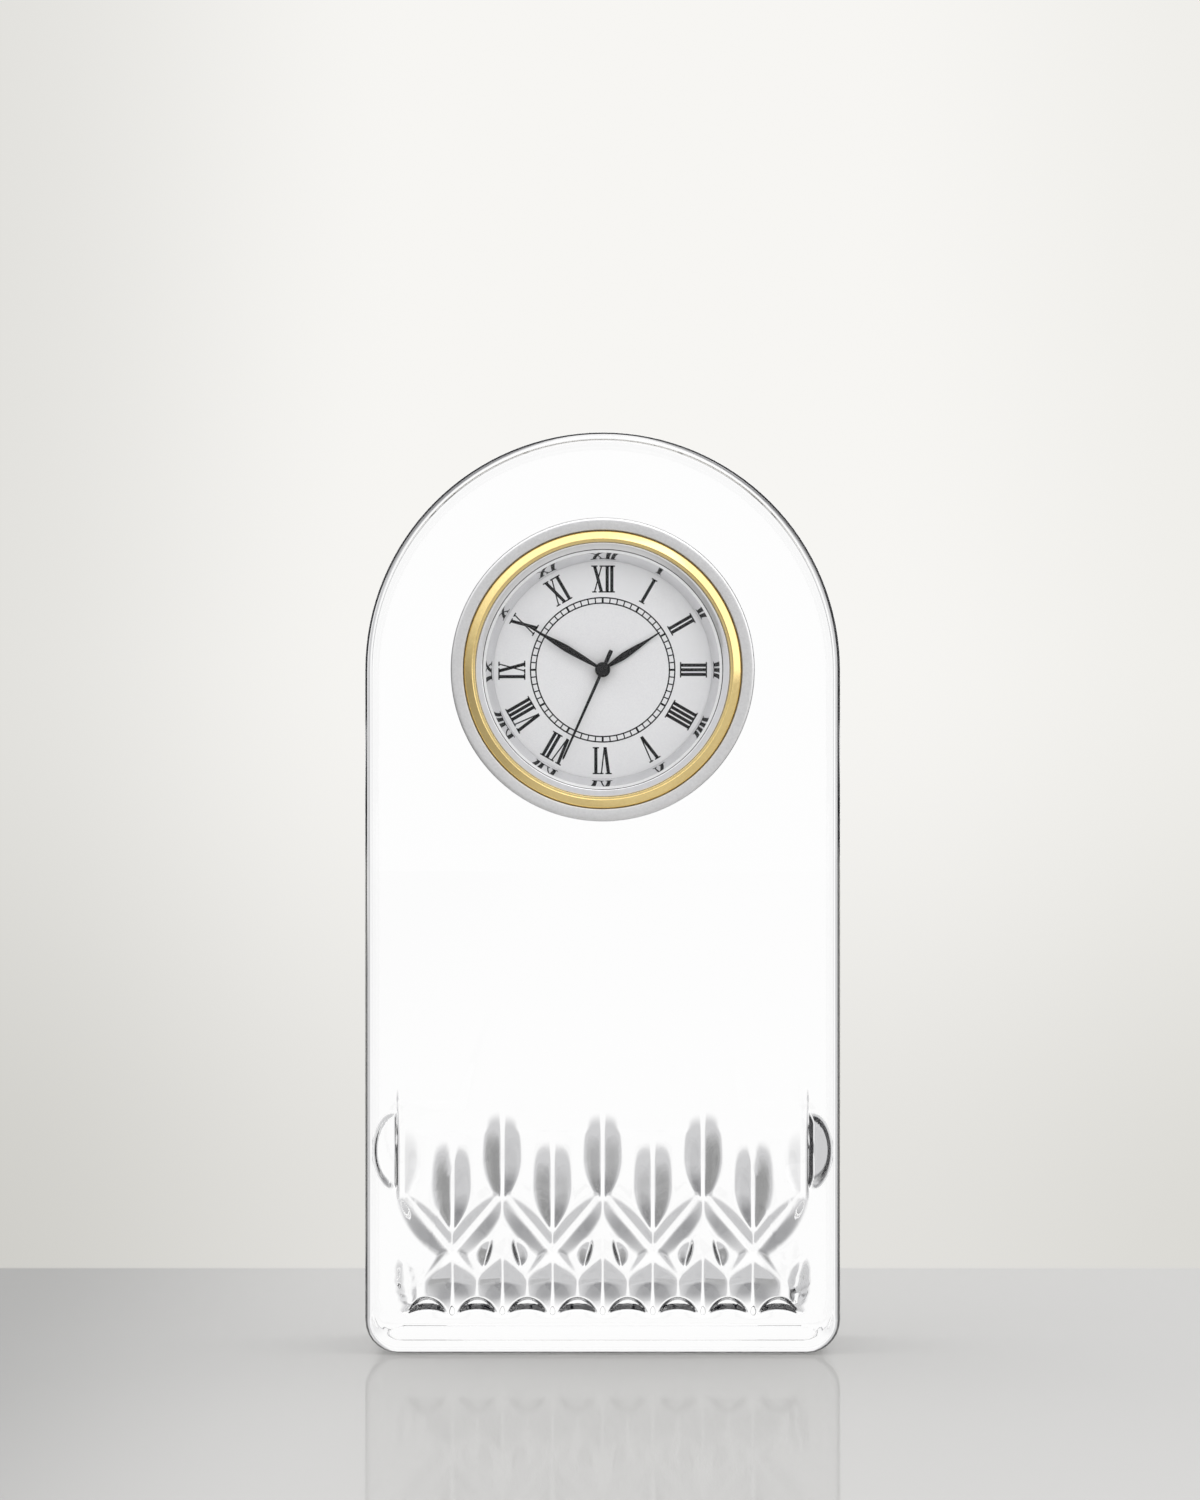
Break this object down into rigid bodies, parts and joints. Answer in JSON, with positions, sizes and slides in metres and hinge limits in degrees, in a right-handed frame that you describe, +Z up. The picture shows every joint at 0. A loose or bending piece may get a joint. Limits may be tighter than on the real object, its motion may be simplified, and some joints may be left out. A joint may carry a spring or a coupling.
{
  "type": "table clock",
  "caption": "Arch-shaped cut crystal table clock holding a round quartz insert with hands, geared movement, setting knob and removable back cover.",
  "frame": {"origin": "centre of the crystal's underside", "axes": "+Z up, the dial faces -Y, +X to the right seen from the front"},
  "size_m": [0.08, 0.0389, 0.155],
  "materials": {
    "crystal": "polished, with wheel-cut ornament",
    "satin_silver": "satin",
    "gold": "polished gold colour",
    "polished_silver": "polished",
    "lens_glass": "clear",
    "dial_silver": "fine matt silver",
    "rubber_black": "matt",
    "ivory_plastic": "moulded",
    "nickel": "nickel-plated",
    "soft_iron": "plain",
    "copper_wire": "enamelled wire",
    "board_green": "solder mask",
    "black_plastic": "moulded",
    "contact_brass": "plain spring brass",
    "magnet": "ground",
    "wheel_brass": "plain",
    "hand_black": "satin black"
  },
  "bodies": {
    "crystal": {"crystal_body": "crystal"},
    "insert": {"case_body": "satin_silver", "gold_trim_ring": "gold", "lens_ring": "polished_silver", "lens": "lens_glass", "reflector_ring": "polished_silver", "dial": "dial_silver", "grip_band": "rubber_black", "movement_holder": "ivory_plastic", "main_plate": "nickel", "train_bridge": "nickel", "bridge_screw_1": "nickel", "bridge_screw_2": "nickel", "bridge_screw_3": "nickel", "stator": "soft_iron", "coil_core": "soft_iron", "coil_bobbin": "ivory_plastic", "coil_winding": "copper_wire", "coil_screw_1": "nickel", "coil_screw_2": "nickel", "circuit_board": "board_green", "quartz_can": "nickel", "control_chip": "black_plastic", "battery_cell": "nickel", "battery_contact_plus": "contact_brass", "battery_contact_minus": "contact_brass"},
    "rear_cover": {"back_cover": "ivory_plastic"},
    "minute_arbor": {"minute_hand": "hand_black", "cannon_pinion": "nickel", "centre_wheel": "wheel_brass"},
    "hour_pipe": {"hour_hand": "hand_black", "hour_wheel": "wheel_brass"},
    "second_arbor": {"second_hand": "hand_black", "second_wheel": "wheel_brass"},
    "minute_work": {"minute_wheel": "wheel_brass"},
    "third_arbor": {"third_wheel": "wheel_brass"},
    "intermediate_arbor": {"intermediate_wheel": "ivory_plastic"},
    "rotor": {"rotor_magnet": "magnet", "rotor_pinion": "nickel"},
    "setting_shaft": {"setting_knob": "black_plastic", "setting_stem": "nickel"}
  },
  "joints": [
    {"name": "insert_slide", "type": "slide", "parent": "crystal", "child": "insert", "axis": [0, -1, 0], "range_m": [0, 0.03]},
    {"name": "back_cover_slide", "type": "slide", "parent": "insert", "child": "rear_cover", "axis": [0, 1, 0], "range_m": [0, 0.03]},
    {"name": "minute_hand_turn", "type": "hinge", "parent": "insert", "child": "minute_arbor", "pos_m": [0, 0, 0.115], "axis": [0, 1, 0], "continuous": true},
    {"name": "hour_hand_turn", "type": "hinge", "parent": "insert", "child": "hour_pipe", "pos_m": [0, 0, 0.115], "axis": [0, 1, 0], "continuous": true},
    {"name": "second_hand_turn", "type": "hinge", "parent": "insert", "child": "second_arbor", "pos_m": [0, 0, 0.115], "axis": [0, 1, 0], "continuous": true},
    {"name": "minute_wheel_turn", "type": "hinge", "parent": "insert", "child": "minute_work", "pos_m": [0, 0, 0.1114], "axis": [0, 1, 0], "continuous": true},
    {"name": "third_wheel_turn", "type": "hinge", "parent": "insert", "child": "third_arbor", "pos_m": [-0.00398, 0, 0.1173], "axis": [0, 1, 0], "continuous": true},
    {"name": "intermediate_wheel_turn", "type": "hinge", "parent": "insert", "child": "intermediate_arbor", "pos_m": [0.00416, 0, 0.1174], "axis": [0, 1, 0], "continuous": true},
    {"name": "rotor_turn", "type": "hinge", "parent": "insert", "child": "rotor", "pos_m": [0.00829, 0, 0.11667], "axis": [0, 1, 0], "continuous": true},
    {"name": "setting_knob_turn", "type": "hinge", "parent": "insert", "child": "setting_shaft", "pos_m": [0, 0, 0.1078], "axis": [0, 1, 0], "continuous": true}
  ],
  "couplings": [
    {"joint": "hour_hand_turn", "follows": "minute_hand_turn", "ratio": 0.083333},
    {"joint": "second_hand_turn", "follows": "minute_hand_turn", "ratio": 60},
    {"joint": "minute_wheel_turn", "follows": "minute_hand_turn", "ratio": -0.33333},
    {"joint": "third_wheel_turn", "follows": "minute_hand_turn", "ratio": -8},
    {"joint": "intermediate_wheel_turn", "follows": "minute_hand_turn", "ratio": -300},
    {"joint": "rotor_turn", "follows": "minute_hand_turn", "ratio": 1800},
    {"joint": "setting_knob_turn", "follows": "minute_hand_turn", "ratio": 1}
  ]
}
